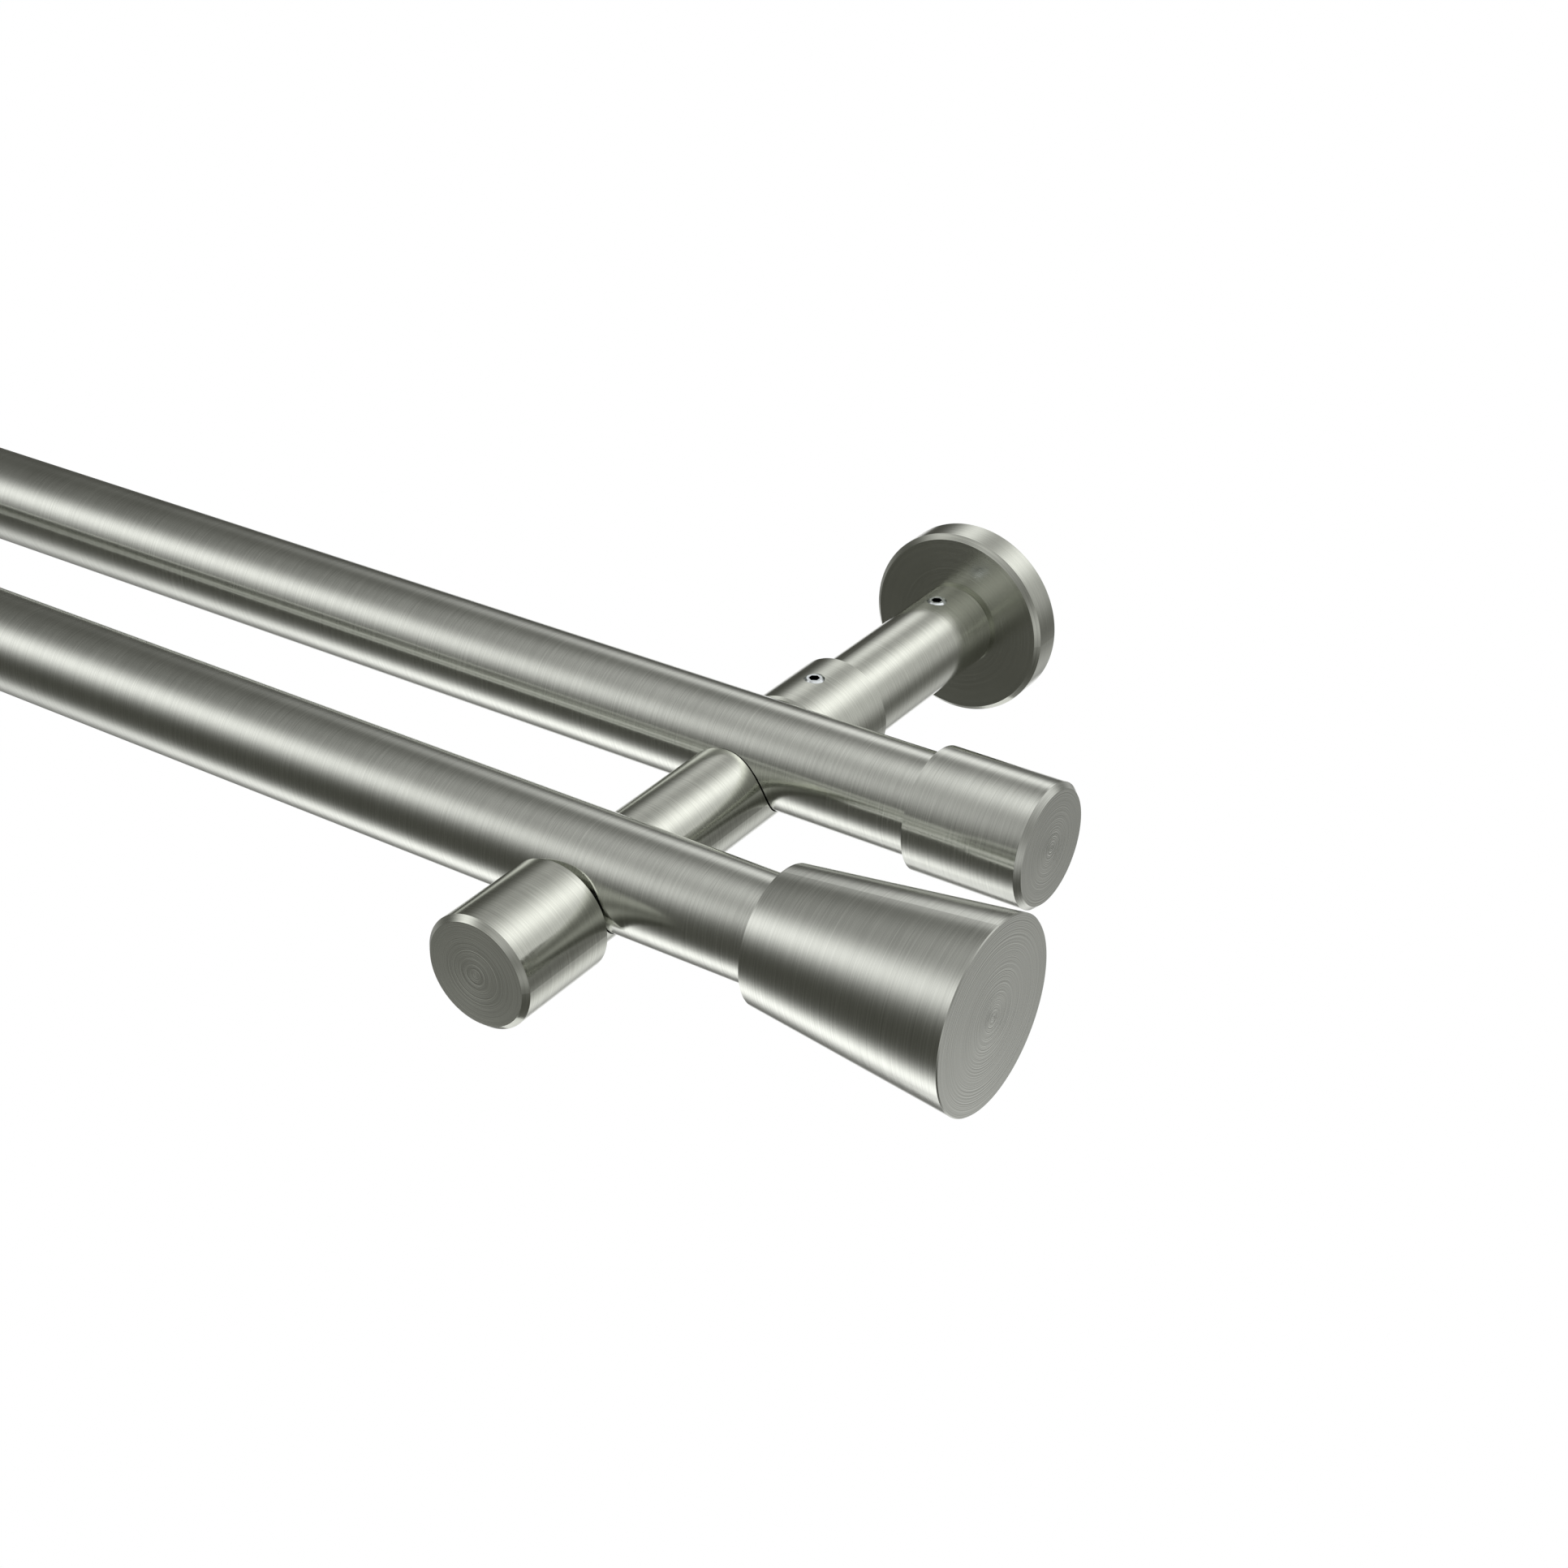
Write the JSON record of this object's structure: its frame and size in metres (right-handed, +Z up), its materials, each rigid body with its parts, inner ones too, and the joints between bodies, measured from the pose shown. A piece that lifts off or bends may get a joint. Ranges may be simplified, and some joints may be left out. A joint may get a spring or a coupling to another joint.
{
  "type": "double curtain rod",
  "caption": "Double curtain rod in brushed steel: parallel tubes with plain end caps and flared cone finials, carried by round wall brackets with cover discs.",
  "frame": {"origin": "centre of the right wall plate's hole circle, on the wall plane behind it", "axes": "+X along the rods to the right end, +Y into the wall, +Z up; the bracket arms run along -Y into the room"},
  "size_m": [1.042, 0.1643, 0.0425],
  "materials": {
    "rod_steel": "drawn stainless tube, finely brushed around the tube",
    "end_piece_steel": "turned stainless steel, brushed around, with fine rings on the end faces",
    "bracket_steel": "turned stainless steel, finely brushed around the arm",
    "rosette_steel": "turned stainless disc with fine rings on its face",
    "wall_plate_zinc": "zinc-plated steel",
    "grub_screw_zinc": "bright zinc-plated steel"
  },
  "bodies": {
    "root": {"back_rod": "rod_steel", "front_rod": "rod_steel", "right_end_cap": "end_piece_steel", "left_end_cap": "end_piece_steel", "right_finial": "end_piece_steel", "left_finial": "end_piece_steel", "right_arm_tube": "bracket_steel", "left_arm_tube": "bracket_steel", "right_sleeve": "bracket_steel", "left_sleeve": "bracket_steel", "right_carrier": "bracket_steel", "left_carrier": "bracket_steel", "right_front_cap": "bracket_steel", "left_front_cap": "bracket_steel", "right_rosette": "rosette_steel", "left_rosette": "rosette_steel", "right_wall_plate": "wall_plate_zinc", "left_wall_plate": "wall_plate_zinc", "right_arm_screw": "grub_screw_zinc", "left_arm_screw": "grub_screw_zinc", "right_sleeve_screw": "grub_screw_zinc", "left_sleeve_screw": "grub_screw_zinc", "right_front_cap_screw": "grub_screw_zinc", "left_front_cap_screw": "grub_screw_zinc", "right_back_seat_screw": "grub_screw_zinc", "left_back_seat_screw": "grub_screw_zinc", "right_front_seat_screw": "grub_screw_zinc", "left_front_seat_screw": "grub_screw_zinc", "right_end_cap_screw": "grub_screw_zinc", "left_end_cap_screw": "grub_screw_zinc", "right_finial_screw": "grub_screw_zinc", "left_finial_screw": "grub_screw_zinc"}
  },
  "joints": []
}
